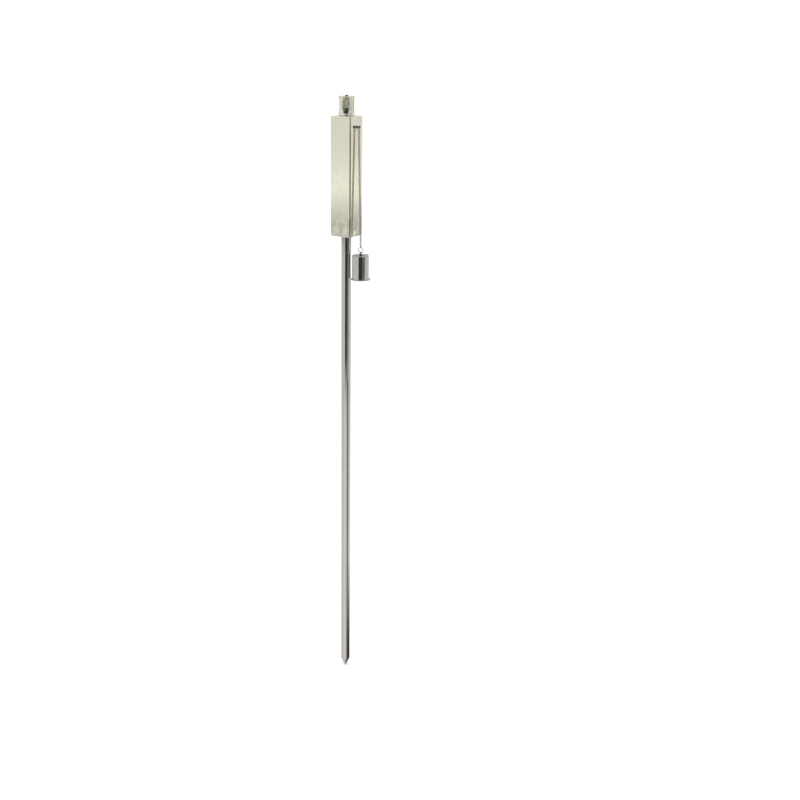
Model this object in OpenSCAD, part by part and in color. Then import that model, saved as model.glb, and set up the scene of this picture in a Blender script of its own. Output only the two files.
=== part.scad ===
// Garden torch: a lamp-oil burner on a square steel housing, carried by a round pole with a
// ground point, with a snuffer bell that hangs beside the pole on a link chain.
// +Z is up along the pole, -Y is the broad front face and +X is the face that carries the chain.
// The origin is on the pole's axis, at the shoulder where the ground point meets the pole.

/* [Housing] */
// Side of the square housing
body_w = 54.5; // [50:0.5:60]
// Height of the housing
body_h = 276; // [240:2:320]
// Wall of the housing tube
body_wall = 0.9; // [0.7:0.1:1.2]
// Outside corner radius of the housing tube
body_corner_r = 3; // [1.5:0.1:3.5]

/* [Pole] */
// Diameter of the pole
pole_d = 23; // [22:0.5:25]
// Wall of the pole tubes
pole_wall = 1; // [0.8:0.1:1.2]
// Height of the pole from the shoulder to the housing
pole_h = 1115; // [1000:5:1250]
// Number of equal tubes that screw together into the pole
pole_sections = 3; // [3:1:3]
// Length of the conical ground point
point_h = 22; // [18:1:30]

/* [Burner] */
// Height of the wick's tip over the top of the housing
wick_stand = 47; // [44:1:50]
// Diameter of the wick
wick_d = 7; // [6:0.5:8]
// Outside diameter of the windowed guard
guard_d = 36.5; // [35:0.5:37]
// Height of each window in the guard
window_h = 36; // [30:1:38]
// Width of each window at its middle
window_w = 17.5; // [14:0.5:18]
// Width of each window at its top and bottom
window_end_w = 10.5; // [9:0.5:12]
// Direction that the middle window faces, turned from the front face towards the chain
window_turn = 25; // [0:1:45]

/* [Chain and snuffer] */
// Number of chain links
link_count = 52; // [52:1:52]
// Wire diameter of a link
link_wire = 1.4; // [1:0.1:1.5]
// Outside width of a link
link_w = 5.4; // [4.8:0.1:5.6]
// Distance of the chain pin below the top of the housing
pin_drop = 24.5; // [20:0.5:30]
// Distance of the chain from the pole's axis, at the pin
chain_top_x = 33; // [32.5:0.5:34]
// Distance of the snuffer from the pole's axis
snuffer_x = 40; // [39:0.5:44]
// Distance of the snuffer's top below the housing
snuffer_drop = 43; // [40:1:50]
// Height of the snuffer
snuffer_h = 59; // [56:1:62]
// Outside diameter of the snuffer
snuffer_d = 39.5; // [39.5:0.5:41]
// Diameter of the snuffer's brim
brim_d = 47.5; // [46:0.5:50]

/* [Hidden] */
$fn = 96;

// Clearances: a still fit, a turning or sliding fit, and the slack between chain parts.
still_gap = 0.05;
slide_gap = 0.06;
chain_gap = 0.1;
eps = 0.01;

// Colours
satin_steel = [0.85, 0.84, 0.77];
bright_steel = [0.72, 0.72, 0.70];
dark_steel = [0.25, 0.24, 0.21];
glass_fibre = [0.62, 0.62, 0.55];
red_fibre = [0.45, 0.18, 0.12];
black_rubber = [0.08, 0.08, 0.08];

// Pole
section_h = pole_h / pole_sections;
pole_r = pole_d / 2;
pole_bore_r = pole_r - pole_wall;
insert_r = pole_bore_r - still_gap;
insert_h = 24;
plug_h = 26;
stud_r = 6;
stud_h = 20;
tip_r = 1.2;

// Housing
housing_z = pole_h;
top_z = housing_z + body_h;
inner_w = body_w - 2 * body_wall;
plate_w = inner_w - 2 * still_gap;
plate_corner_r = body_corner_r - body_wall;
bottom_plate_t = 2;
top_plate_t = 1.5;

// Fuel canister and its neck
pad_t = 2;
pad_r = 16;
canister_r = 22;
canister_wall = 0.6;
canister_z = housing_z + bottom_plate_t + insert_h + pad_t;
lid_t = 1.2;
neck_h = 14;
neck_r = 13.5;
neck_bore_r = 11.05;
neck_flange_r = 16;
neck_flange_t = 0.8;
lid_z = top_z - neck_h + 1;

// Burner
gasket_t = 1;
gasket_r = 15.5;
gasket_z = top_z + neck_flange_t + still_gap;
base_z = gasket_z + gasket_t + still_gap;
base_t = 2.6;
base_r = guard_d / 2 + 0.25;
hub_r = neck_bore_r - still_gap;
hub_h = 12;
guard_z = base_z + base_t;
guard_wall = 0.8;
guard_top_z = top_z + wick_stand - 2.5;
guard_h = guard_top_z - guard_z;
skirt_h = 5;
rim_r = 1.1;
window_z = guard_top_z - 2.6 - window_h;
window_sag = (window_w - window_end_w) / 2;
window_cut_y = 12.5;
window_arc_r = (pow(window_h / 2, 2) + pow(window_sag, 2)) / (2 * window_sag);

// Wick and its holder
wick_r = wick_d / 2;
wick_top_z = top_z + wick_stand;
wick_bottom_z = canister_z + 25;
holder_bore_r = wick_r + slide_gap;
holder_r = holder_bore_r + 1.4;
holder_foot_r = 8;
holder_foot_t = 1;
holder_cone_h = 12;
holder_tail_h = 30;
nut_t = 3;
nut_r = 8.4;

// Chain pin
face_x = body_w / 2;
pin_z = top_z - pin_drop;
pin_r = 2;
pin_head_r = 3.4;
pin_head_t = 1.8;
pin_head_x = chain_top_x + 1.6;
pin_washer_r = 4.6;
pin_washer_t = 0.8;
pin_nut_t = 3;
pin_nut_r = 4.1;
pin_tail = 3.4;

// Snuffer, with its eyelet standing on the top plate
snuffer_top_z = housing_z - snuffer_drop;
snuffer_mouth_z = snuffer_top_z - snuffer_h;
snuffer_r = snuffer_d / 2;
snuffer_wall = 0.8;
snuffer_edge_r = 2.4;
brim_t = 1.6;
eyelet_wire_r = 0.95;
eyelet_ring_r = 2.75;
eyelet_flange_r = 3.4;
eyelet_flange_t = 0.8;
eyelet_stem_r = 1.5;
eyelet_nut_t = 2.4;
eyelet_nut_r = 3.3;
eyelet_z = snuffer_top_z + eyelet_flange_t + eyelet_ring_r + eyelet_wire_r - 0.4;

// Rings: radii to the middle of the wire
end_ring_wire_r = 0.7;
end_ring_r = 6.3;
top_ring_wire_r = 0.6;
top_ring_r = 4.3;

// Heights where the hanging parts bear on each other
ring_foot_z = eyelet_z + eyelet_ring_r - eyelet_wire_r - chain_gap - end_ring_wire_r;
end_ring_z = ring_foot_z + end_ring_r;
link_wire_r = link_wire / 2;
chain_foot_z = end_ring_z + end_ring_r - end_ring_wire_r - chain_gap - link_wire_r;

// The chain leans out from the pin to the snuffer: distances along it are from the pin's axis.
chain_run_x = snuffer_x - chain_top_x;
chain_lean = atan2(chain_run_x, pin_z - chain_foot_z);
chain_foot_s = norm([chain_run_x, pin_z - chain_foot_z]);
top_ring_s = top_ring_r - top_ring_wire_r - pin_r - chain_gap;
first_bow_s = top_ring_s + top_ring_r - top_ring_wire_r - chain_gap - link_wire_r;
bow_r = (link_w - link_wire) / 2;
// From the first link's upper bow to the last link's lower bow: one pitch a link, plus the
// wire and the slack that the last link adds.
link_pitch = (chain_foot_s - first_bow_s - link_wire - chain_gap) / link_count;
link_span = link_pitch + link_wire + chain_gap;

// First link of each length of chain, counted from 0
bend_link = 9;
long_link = 13;
end_link = 39;

module rounded_square(w, r) {
  square([w, w - 2 * r], center = true);
  square([w - 2 * r, w], center = true);
  for (x = [-1, 1], y = [-1, 1])
    translate([x * (w / 2 - r), y * (w / 2 - r)])
      circle(r);
}

module tube(outer_r, inner_r, h) {
  difference() {
    cylinder(r = outer_r, h = h);
    translate([0, 0, -eps])
      cylinder(r = inner_r, h = h + 2 * eps);
  }
}

module wire_ring(middle_r, wire_r) {
  rotate_extrude()
    translate([middle_r, 0])
      circle(wire_r);
}

// Conical point with a blunt tip, and the plug that holds it in the lowest tube
module ground_point() {
  color(bright_steel) {
    rotate_extrude()
      polygon([[0, -point_h], [tip_r, -point_h], [pole_r, 0], [0, 0]]);
    cylinder(r = insert_r, h = plug_h);
  }
}

module pole_tube(section) {
  color(bright_steel)
    translate([0, 0, section * section_h])
      tube(pole_r, pole_bore_r, section_h);
}

module pole_lower() {
  pole_tube(0);
}

module pole_middle() {
  pole_tube(1);
}

module pole_upper() {
  pole_tube(2);
}

// Threaded stud with the plug that fixes it in the top of each tube
module pole_stud() {
  translate([0, 0, -insert_h])
    cylinder(r = insert_r, h = insert_h);
  cylinder(r = stud_r - still_gap, h = stud_h);
}

module pole_studs() {
  color(dark_steel)
    for (section = [1 : pole_sections])
      translate([0, 0, section * section_h])
        pole_stud();
}

// Threaded socket for a stud: in the foot of the upper tubes, and on the housing's bottom plate
module pole_sockets() {
  color(dark_steel) {
    for (section = [1 : pole_sections - 1])
      translate([0, 0, section * section_h])
        tube(insert_r, stud_r, insert_h);
    translate([0, 0, housing_z + bottom_plate_t])
      tube(insert_r, stud_r, insert_h);
  }
}

module housing_shell() {
  color(satin_steel)
    difference() {
      translate([0, 0, housing_z])
        linear_extrude(body_h)
          rounded_square(body_w, body_corner_r);
      translate([0, 0, housing_z - 1])
        linear_extrude(body_h + 2)
          rounded_square(inner_w, plate_corner_r);
      translate([0, 0, pin_z])
        rotate([0, 90, 0])
          cylinder(r = pin_r + slide_gap, h = body_w);
    }
}

module housing_plate(z, t, hole_r) {
  color(satin_steel)
    difference() {
      translate([0, 0, z])
        linear_extrude(t)
          rounded_square(plate_w, plate_corner_r);
      translate([0, 0, z - 1])
        cylinder(r = hole_r, h = t + 2);
    }
}

module housing_top_plate() {
  housing_plate(top_z - top_plate_t, top_plate_t, neck_r + still_gap);
}

module housing_bottom_plate() {
  housing_plate(housing_z, bottom_plate_t, stud_r + still_gap);
}

module canister_pad() {
  color(black_rubber)
    translate([0, 0, canister_z - pad_t])
      cylinder(r = pad_r, h = pad_t);
}

module fuel_canister() {
  color(bright_steel)
    difference() {
      translate([0, 0, canister_z])
        cylinder(r = canister_r, h = lid_z - canister_z);
      translate([0, 0, canister_z + canister_wall])
        cylinder(r = canister_r - canister_wall, h = lid_z - canister_z);
    }
}

// Lid with a turned-down rim around the canister's top
module canister_lid() {
  rim_outer_r = canister_r + still_gap + canister_wall;
  color(bright_steel)
    difference() {
      union() {
        translate([0, 0, lid_z])
          cylinder(r = rim_outer_r, h = lid_t);
        translate([0, 0, lid_z - 5])
          tube(rim_outer_r, canister_r + still_gap, 5 + lid_t / 2);
      }
      translate([0, 0, lid_z - 1])
        cylinder(r = neck_r + still_gap, h = lid_t + 2);
    }
}

// Threaded neck of the canister, flanged over the housing's top plate
module filler_neck() {
  color(bright_steel)
    difference() {
      union() {
        translate([0, 0, top_z - neck_h])
          cylinder(r = neck_r, h = neck_h);
        translate([0, 0, top_z])
          cylinder(r = neck_flange_r, h = neck_flange_t);
      }
      translate([0, 0, top_z - neck_h - 1])
        cylinder(r = neck_bore_r, h = neck_h + 3);
    }
}

module burner_gasket() {
  color(red_fibre)
    translate([0, 0, gasket_z])
      tube(gasket_r, hub_r + 0.4, gasket_t);
}

// Disc that covers the neck, with the hub that screws down into it
module burner_base() {
  color(satin_steel)
    difference() {
      union() {
        translate([0, 0, base_z])
          cylinder(r = base_r, h = base_t);
        translate([0, 0, base_z - hub_h])
          cylinder(r = hub_r, h = hub_h + base_t / 2);
      }
      translate([0, 0, base_z - hub_h - 1])
        cylinder(r = holder_r + still_gap, h = hub_h + base_t + 2);
    }
}

// Outline of one window: two arcs between a flat sill and a flat head
module window_outline() {
  intersection() {
    square([window_w + 2, window_h], center = true);
    translate([window_arc_r - window_w / 2, 0])
      circle(window_arc_r);
    translate([window_w / 2 - window_arc_r, 0])
      circle(window_arc_r);
  }
}

// Tube with three windows and a closed back, a wider skirt at its foot and a rolled rim
module burner_guard() {
  guard_r = guard_d / 2;
  color(bright_steel)
    difference() {
      union() {
        translate([0, 0, guard_z])
          tube(guard_r, guard_r - guard_wall, guard_h - rim_r);
        translate([0, 0, guard_z])
          tube(base_r, guard_r - guard_wall / 2, skirt_h);
        translate([0, 0, guard_top_z - rim_r])
          wire_ring(guard_r - rim_r, rim_r);
      }
      for (turn = [-90 : 90 : 90])
        rotate([0, 0, window_turn + turn])
          translate([0, -window_cut_y, window_z + window_h / 2])
            rotate([90, 0, 0])
              linear_extrude(base_r + 1 - window_cut_y)
                window_outline();
    }
}

// Flared foot on the burner base, with the tail tube that guides the wick down
module wick_holder() {
  color(dark_steel)
    difference() {
      union() {
        translate([0, 0, guard_z])
          cylinder(r = holder_foot_r, h = holder_foot_t);
        translate([0, 0, guard_z + holder_foot_t])
          cylinder(r1 = holder_foot_r, r2 = holder_bore_r + 0.5, h = holder_cone_h);
        translate([0, 0, guard_z - holder_tail_h])
          cylinder(r = holder_r, h = holder_tail_h + holder_foot_t);
      }
      translate([0, 0, guard_z - holder_tail_h - 1])
        cylinder(r = holder_bore_r, h = holder_tail_h + holder_cone_h + 4);
    }
}

module holder_nut() {
  color(bright_steel)
    translate([0, 0, base_z - hub_h - still_gap - nut_t])
      difference() {
        cylinder(r = nut_r, h = nut_t, $fn = 6);
        translate([0, 0, -1])
          cylinder(r = holder_r + still_gap, h = nut_t + 2);
      }
}

module wick() {
  color(glass_fibre)
    translate([0, 0, wick_bottom_z])
      cylinder(r = wick_r, h = wick_top_z - wick_bottom_z);
}

// Threaded pin through the housing wall, with a neck for the chain and a head outside
module chain_pin() {
  tail_x = face_x - body_wall - pin_tail;
  color(dark_steel)
    translate([tail_x, 0, pin_z])
      rotate([0, 90, 0]) {
        cylinder(r = pin_r, h = pin_head_x + pin_head_t / 2 - tail_x);
        translate([0, 0, pin_head_x - tail_x])
          cylinder(r = pin_head_r, h = pin_head_t);
      }
}

module pin_washer() {
  color(bright_steel)
    translate([face_x, 0, pin_z])
      rotate([0, 90, 0])
        tube(pin_washer_r, pin_r + still_gap, pin_washer_t);
}

module pin_nut() {
  color(bright_steel)
    translate([face_x - body_wall - pin_nut_t, 0, pin_z])
      rotate([0, 90, 0])
        difference() {
          cylinder(r = pin_nut_r, h = pin_nut_t, $fn = 6);
          translate([0, 0, -1])
            cylinder(r = pin_r + still_gap, h = pin_nut_t + 2);
        }
}

// Places its children on the leaning line of the chain, a distance s down from the pin
module on_chain(s) {
  translate([chain_top_x, 0, pin_z])
    rotate([0, -chain_lean, 0])
      translate([0, 0, -s])
        children();
}

module top_ring() {
  color(bright_steel)
    on_chain(top_ring_s)
      rotate([0, 90, 0])
        wire_ring(top_ring_r, top_ring_wire_r);
}

// One end of a link: half a wire ring, open towards -Z
module bow() {
  rotate([90, 0, 0])
    rotate_extrude(angle = 180)
      translate([bow_r, 0])
        circle(link_wire_r);
}

// Link in the XZ plane, its upper bow's wire at the origin
module link() {
  side_h = link_span - 2 * bow_r;
  translate([0, 0, -bow_r])
    bow();
  translate([0, 0, -bow_r - side_h])
    mirror([0, 0, 1])
      bow();
  for (x = [-bow_r, bow_r])
    translate([x, 0, -bow_r - side_h])
      cylinder(r = link_wire_r, h = side_h);
}

// Links from one number up to another, each a quarter turn from its neighbour
module chain_run(first, past) {
  color(bright_steel)
    for (i = [first : past - 1])
      on_chain(first_bow_s + i * link_pitch)
        rotate([0, 0, 90 * (i % 2)])
          link();
}

module chain_top_links() {
  chain_run(0, bend_link);
}

module chain_bend_links() {
  chain_run(bend_link, long_link);
}

module chain_long_links() {
  chain_run(long_link, end_link);
}

module chain_end_links() {
  chain_run(end_link, link_count);
}

module end_ring() {
  color(bright_steel)
    translate([snuffer_x, 0, end_ring_z])
      rotate([90, 0, 0])
        wire_ring(end_ring_r, end_ring_wire_r);
}

// Deep cup with a rounded top edge and a flat brim with a round edge
module snuffer_bell() {
  cup_r = snuffer_r - snuffer_wall;
  color(bright_steel)
    translate([snuffer_x, 0, snuffer_mouth_z])
      difference() {
        rotate_extrude() {
          square([snuffer_r, snuffer_h - snuffer_edge_r]);
          square([snuffer_r - snuffer_edge_r, snuffer_h]);
          translate([snuffer_r - snuffer_edge_r, snuffer_h - snuffer_edge_r])
            circle(snuffer_edge_r);
          square([brim_d / 2 - brim_t / 2, brim_t]);
          translate([brim_d / 2 - brim_t / 2, brim_t / 2])
            circle(brim_t / 2);
        }
        translate([0, 0, -1])
          cylinder(r = cup_r, h = snuffer_h - snuffer_wall + 1);
        cylinder(r = eyelet_stem_r + still_gap, h = snuffer_h + 1);
      }
}

// Eye that stands on the snuffer, with a flange and a threaded stem
module snuffer_eyelet() {
  stem_z = snuffer_top_z - snuffer_wall - eyelet_nut_t - 0.6;
  color(dark_steel) {
    translate([snuffer_x, 0, eyelet_z])
      rotate([0, 90, 0])
        wire_ring(eyelet_ring_r, eyelet_wire_r);
    translate([snuffer_x, 0, snuffer_top_z])
      cylinder(r = eyelet_flange_r, h = eyelet_flange_t);
    translate([snuffer_x, 0, stem_z])
      cylinder(r = eyelet_stem_r, h = snuffer_top_z - stem_z + eyelet_flange_t / 2);
  }
}

module eyelet_nut() {
  color(bright_steel)
    translate([snuffer_x, 0, snuffer_top_z - snuffer_wall - eyelet_nut_t])
      difference() {
        cylinder(r = eyelet_nut_r, h = eyelet_nut_t, $fn = 6);
        translate([0, 0, -1])
          cylinder(r = eyelet_stem_r + still_gap, h = eyelet_nut_t + 2);
      }
}

ground_point();
pole_lower();
pole_middle();
pole_upper();
pole_studs();
pole_sockets();
housing_shell();
housing_top_plate();
housing_bottom_plate();
canister_pad();
fuel_canister();
canister_lid();
filler_neck();
burner_gasket();
burner_base();
burner_guard();
wick_holder();
holder_nut();
wick();
chain_pin();
pin_washer();
pin_nut();
top_ring();
chain_top_links();
chain_bend_links();
chain_long_links();
chain_end_links();
end_ring();
snuffer_bell();
snuffer_eyelet();
eyelet_nut();
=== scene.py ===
"""Visual model of the garden torch: detailed meshes, materials and studio around the CAD frame."""

import math
import random

import bmesh
import bpy
from mathutils import Matrix, Vector


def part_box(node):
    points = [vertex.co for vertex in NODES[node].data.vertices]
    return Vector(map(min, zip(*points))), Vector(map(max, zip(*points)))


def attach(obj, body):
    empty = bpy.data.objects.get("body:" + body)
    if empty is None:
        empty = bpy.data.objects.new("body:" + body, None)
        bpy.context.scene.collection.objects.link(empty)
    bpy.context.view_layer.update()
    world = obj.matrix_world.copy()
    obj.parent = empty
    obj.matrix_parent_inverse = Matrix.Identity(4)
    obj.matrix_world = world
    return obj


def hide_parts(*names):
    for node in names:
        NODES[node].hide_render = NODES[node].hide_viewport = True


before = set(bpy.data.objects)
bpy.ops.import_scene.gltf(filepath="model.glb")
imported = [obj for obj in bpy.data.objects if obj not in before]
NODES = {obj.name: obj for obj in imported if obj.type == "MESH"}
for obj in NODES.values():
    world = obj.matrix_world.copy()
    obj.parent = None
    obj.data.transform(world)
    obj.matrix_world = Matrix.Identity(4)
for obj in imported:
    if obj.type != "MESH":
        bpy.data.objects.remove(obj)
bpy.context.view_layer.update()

MM = 0.001
TURN = 2 * math.pi


def low(node):
    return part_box(node)[0]


def high(node):
    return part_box(node)[1]


def middle(node):
    lo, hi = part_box(node)
    return (lo + hi) / 2


# ---------------------------------------------------------------- mesh helpers


def rounded(corners, steps=4, support=0.15 * MM):
    """Points of an outline given as (x, y, corner radius), with a short flat beside each round."""
    points = []
    for i, (x, y, radius) in enumerate(corners):
        corner = Vector((x, y))
        if radius <= 0:
            points.append(corner)
            continue
        before = (Vector(corners[i - 1][:2]) - corner).normalized()
        after = (Vector(corners[(i + 1) % len(corners)][:2]) - corner).normalized()
        half = before.angle(after) / 2
        run = radius / math.tan(half)
        centre = corner + (before + after).normalized() * (radius / math.sin(half))
        start = corner + before * run - centre
        sweep_angle = start.angle_signed(corner + after * run - centre)
        points.append(corner + before * (run + support))
        for k in range(steps + 1):
            a = -sweep_angle * k / steps
            turned = Vector(
                (
                    start.x * math.cos(a) - start.y * math.sin(a),
                    start.x * math.sin(a) + start.y * math.cos(a),
                )
            )
            points.append(centre + turned)
        points.append(corner + after * (run + support))
    return points


def circle(radius, z, count=128):
    """Horizontal loop about the Z axis; radius is a number or a function of the angle."""
    loop = []
    for k in range(count):
        a = TURN * k / count
        r = radius(a) if callable(radius) else radius
        loop.append(Vector((r * math.cos(a), r * math.sin(a), z)))
    return loop


def square(half, corner, z, steps=8, support=0.6 * MM):
    """Horizontal rounded square about the Z axis, with short flats beside its corners."""
    flats = [(half, half, corner), (-half, half, corner)]
    flats += [(-half, -half, corner), (half, -half, corner)]
    return [Vector((p.x, p.y, z)) for p in rounded(flats, steps, support)]


def circle_beside(loop, radius, z):
    """Circle whose points lie at the same angles as those of another loop."""
    angles = [math.atan2(p.y, p.x) for p in loop]
    return [Vector((radius * math.cos(a), radius * math.sin(a), z)) for a in angles]


def add_loft(bm, loops, closed=True):
    """Adds the surface through loops of equal length, joined end to end if closed."""
    rows = [[bm.verts.new(p) for p in loop] for loop in loops]
    pairs = list(zip(rows, rows[1:]))
    if closed:
        pairs.append((rows[-1], rows[0]))
    for a, b in pairs:
        for i in range(len(a)):
            j = (i + 1) % len(a)
            bm.faces.new((a[i], a[j], b[j], b[i]))


def add_lathe(bm, outline, closed=True, count=128):
    """Adds an outline of (radius, height) points turned about the Z axis."""
    add_loft(bm, [circle(p[0], p[1], count) for p in outline], closed)


def add_wire(bm, path, normal, section, sides=12, closed=True):
    """Adds a wire along a path. section(i) gives its half sizes in the path's plane and across."""
    rings, n = [], len(path)
    for i, p in enumerate(path):
        ahead = path[(i + 1) % n] if closed or i < n - 1 else p
        behind = path[i - 1] if closed or i > 0 else p
        side = (ahead - behind).normalized().cross(normal).normalized()
        flat, across = section(i)
        rings.append(
            [
                p + side * flat * math.cos(TURN * k / sides)
                + normal * across * math.sin(TURN * k / sides)
                for k in range(sides)
            ]
        )
    if closed:
        add_loft(bm, rings, True)
        return
    ends = [[sum(r, Vector()) / sides] * sides for r in (rings[0], rings[-1])]
    add_loft(bm, [ends[0], *rings, ends[1]], False)


def join_into(bm, other, place):
    """Moves one bmesh by a matrix and adds it to another."""
    other.transform(place)
    part = bpy.data.meshes.new("part")
    other.to_mesh(part)
    other.free()
    bm.from_mesh(part)
    bpy.data.meshes.remove(part)


def new_mesh(name, bm, place=None, turn_faces=True):
    """Object made from a bmesh, moved by a matrix, with merged points and outward faces."""
    bmesh.ops.remove_doubles(bm, verts=bm.verts, dist=0.0005 * MM)
    if turn_faces:
        bmesh.ops.recalc_face_normals(bm, faces=bm.faces)
    if place:
        bm.transform(place)
    mesh = bpy.data.meshes.new(name)
    bm.to_mesh(mesh)
    bm.free()
    mesh.shade_smooth()
    made = bpy.data.objects.new(name, mesh)
    bpy.context.scene.collection.objects.link(made)
    return made


def fit(made, body, nodes, slot_name, material):
    """Gives a piece its material and its body, and hides the CAD nodes that it stands for."""
    made.data.materials.append(material)
    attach(made, body)
    if nodes:
        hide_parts(*nodes)
    return made


def turned(name, outline, body, nodes, slot_name, material, closed=True, place=None):
    """Piece turned on a lathe from one outline."""
    bm = bmesh.new()
    add_lathe(bm, outline, closed)
    return fit(new_mesh(name, bm, place), body, nodes, slot_name, material)


# ---------------------------------------------------------------- materials


def new_material(name):
    made = bpy.data.materials.new(name)
    made.use_nodes = True
    return made, made.node_tree, made.node_tree.nodes["Principled BSDF"]


def add(tree, kind, inputs=None, **settings):
    """Adds a shader node; an input is a value or another node's output."""
    made = tree.nodes.new(kind)
    for key, value in settings.items():
        setattr(made, key, value)
    for key, value in (inputs or {}).items():
        if isinstance(value, bpy.types.NodeSocket):
            tree.links.new(value, made.inputs[key])
        else:
            made.inputs[key].default_value = value
    return made


def noise(tree, scale, detail=3.0, stretch=(1, 1, 1), turn=(0, 0, 0)):
    """Noise in the piece's own coordinates, from 0 to 1; stretch scales each axis."""
    coords = add(tree, "ShaderNodeTexCoord").outputs["Object"]
    place = add(tree, "ShaderNodeMapping", {"Vector": coords, "Scale": stretch, "Rotation": turn})
    texture = add(
        tree,
        "ShaderNodeTexNoise",
        {"Vector": place.outputs[0], "Scale": scale, "Detail": detail, "Roughness": 0.55},
    )
    return texture.outputs[0]


def spread(tree, value, lowest, highest, from_low=0.3, from_high=0.7):
    """Maps a value onto a range, with soft ends."""
    return add(
        tree,
        "ShaderNodeMapRange",
        {
            "Value": value,
            "From Min": from_low,
            "From Max": from_high,
            "To Min": lowest,
            "To Max": highest,
        },
        interpolation_type="SMOOTHSTEP",
    ).outputs[0]


def mixed(tree, amount, a, b):
    """Colour a mixed with colour b; sockets 6, 7 and output 2 are the Mix node's colours."""
    return add(tree, "ShaderNodeMix", {0: amount, 6: a, 7: b}, data_type="RGBA").outputs[2]


def maths(tree, operation, a, b=0.0):
    """Result of a Math node on two values."""
    return add(tree, "ShaderNodeMath", {0: a, 1: b}, operation=operation).outputs[0]


def bump(tree, height, distance, strength=1.0, base=None):
    """Normal from a height, laid over another normal if one is given."""
    inputs = {"Height": height, "Distance": distance, "Strength": strength}
    if base:
        inputs["Normal"] = base
    return add(tree, "ShaderNodeBump", inputs).outputs[0]


def link_surface(tree, bsdf, colour, roughness, relief):
    """Gives a surface shader its colour, roughness and normal."""
    tree.links.new(colour, bsdf.inputs["Base Color"])
    tree.links.new(roughness, bsdf.inputs["Roughness"])
    tree.links.new(relief, bsdf.inputs["Normal"])


def shade(colour, factor):
    """Opaque colour, lightened or darkened."""
    return tuple(c * factor for c in colour) + (1,)


GRAIN_UP = (1, 1, 0.012)
GRAIN_ROUND = (0.02, 0.02, 1)
GRAIN_NONE = (1, 1, 1)
HAIR_STRETCH, HAIR_TURN = (1, 0.02, 0.02), (0.35, 0.5, 0.9)


def steel(name, colour, roughness, grain=GRAIN_UP, grain_depth=0.004, dirt=0.05, tint=None):
    """Brushed or polished steel: fine grain, hairline scratches, smudges and dull patches."""
    made, tree, bsdf = new_material(name)
    bsdf.inputs["Metallic"].default_value = 1.0
    patches = noise(tree, 22, 4)
    smudges = noise(tree, 95, 5, (1, 1, 0.55))
    streaks = noise(tree, 2600, 3, grain)
    hairs = noise(tree, 900, 2, HAIR_STRETCH, HAIR_TURN)
    tone = mixed(tree, spread(tree, patches, 0.0, dirt), shade(colour, 1.0), shade(colour, 0.72))
    tone = mixed(tree, spread(tree, streaks, 0.0, 0.10), tone, shade(colour, 0.86))
    if tint:
        tone = tint(tree, tone)
    dull = maths(tree, "ADD", spread(tree, smudges, 0.0, 0.07, 0.42, 0.72), roughness)
    dull = maths(tree, "ADD", dull, spread(tree, streaks, -0.02, 0.03))
    dull = maths(tree, "ADD", dull, spread(tree, hairs, 0.0, 0.12, 0.66, 0.74))
    relief = bump(tree, streaks, grain_depth * MM)
    relief = bump(tree, hairs, 0.002 * MM, 0.6, relief)
    link_surface(tree, bsdf, tone, dull, relief)
    return made


def heat_tint(lower, upper):
    """Straw and faint blue-grey colours that a flame leaves on steel between two heights."""

    def tint(tree, tone):
        coords = add(tree, "ShaderNodeTexCoord").outputs["Object"]
        z = add(tree, "ShaderNodeSeparateXYZ", {"Vector": coords}).outputs[2]
        wavy = maths(tree, "ADD", z, spread(tree, noise(tree, 160, 3), -0.002, 0.002))
        straw = spread(tree, wavy, 0.0, 0.35, lower, (lower + upper) / 2)
        blue = spread(tree, wavy, 0.0, 0.35, (lower + upper) / 2, upper)
        tone = mixed(tree, straw, tone, (0.80, 0.74, 0.56, 1))
        return mixed(tree, blue, tone, (0.58, 0.58, 0.60, 1))

    return tint


def dark_metal(name, colour, roughness):
    """Blackened or oxidised steel, worn brighter in places."""
    made, tree, bsdf = new_material(name)
    bsdf.inputs["Metallic"].default_value = 0.9
    wear = noise(tree, 420, 5)
    cloud = noise(tree, 120, 4)
    tone = mixed(tree, spread(tree, cloud, 0, 0.7), shade(colour, 0.75), shade(colour, 1.3))
    tone = mixed(tree, spread(tree, wear, 0, 0.8, 0.60, 0.75), tone, (0.34, 0.32, 0.28, 1))
    dull = maths(tree, "ADD", spread(tree, wear, 0.08, -0.06), roughness)
    link_surface(tree, bsdf, tone, dull, bump(tree, wear, 0.02 * MM, 0.5))
    return made


def painted_shade_inside(name):
    """Bare steel inside the guard, dulled, mottled and painted darker than its outside: painted
    shade of the guard's hollow.
    """
    made, tree, bsdf = new_material(name)
    bsdf.inputs["Metallic"].default_value = 0.6
    cloud, flecks = noise(tree, 210, 4), noise(tree, 900, 3)
    # Pale and darker tones with black flecks: painted shade inside the guard.
    pale_inside, painted_shade_tone, black = (0.74, 0.75, 0.63, 1), (0.36, 0.37, 0.28, 1), (0.16, 0.16, 0.12, 1)
    tone = mixed(tree, spread(tree, cloud, 0, 1, 0.4, 0.6), pale_inside, painted_shade_tone)
    tone = mixed(tree, spread(tree, flecks, 0, 0.5, 0.5, 0.7), tone, black)
    rough = maths(tree, "ADD", spread(tree, cloud, 0.0, 0.15), 0.34)
    link_surface(tree, bsdf, tone, rough, bump(tree, flecks, 0.02 * MM, 0.5))
    return made


def tinned(name):
    """Tinned sheet steel with a faint crystal pattern."""
    made, tree, bsdf = new_material(name)
    bsdf.inputs["Metallic"].default_value = 1.0
    coords = add(tree, "ShaderNodeTexCoord").outputs["Object"]
    crystal = add(tree, "ShaderNodeTexVoronoi", {"Vector": coords, "Scale": 140.0})
    tone = mixed(
        tree,
        spread(tree, crystal.outputs["Distance"], 0, 0.6, 0.1, 0.8),
        (0.62, 0.62, 0.60, 1),
        (0.48, 0.49, 0.50, 1),
    )
    rough = maths(tree, "ADD", spread(tree, noise(tree, 200, 4), 0.0, 0.15), 0.24)
    link_surface(tree, bsdf, tone, rough, bump(tree, noise(tree, 900, 3), 0.01 * MM, 0.4))
    return made


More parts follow.
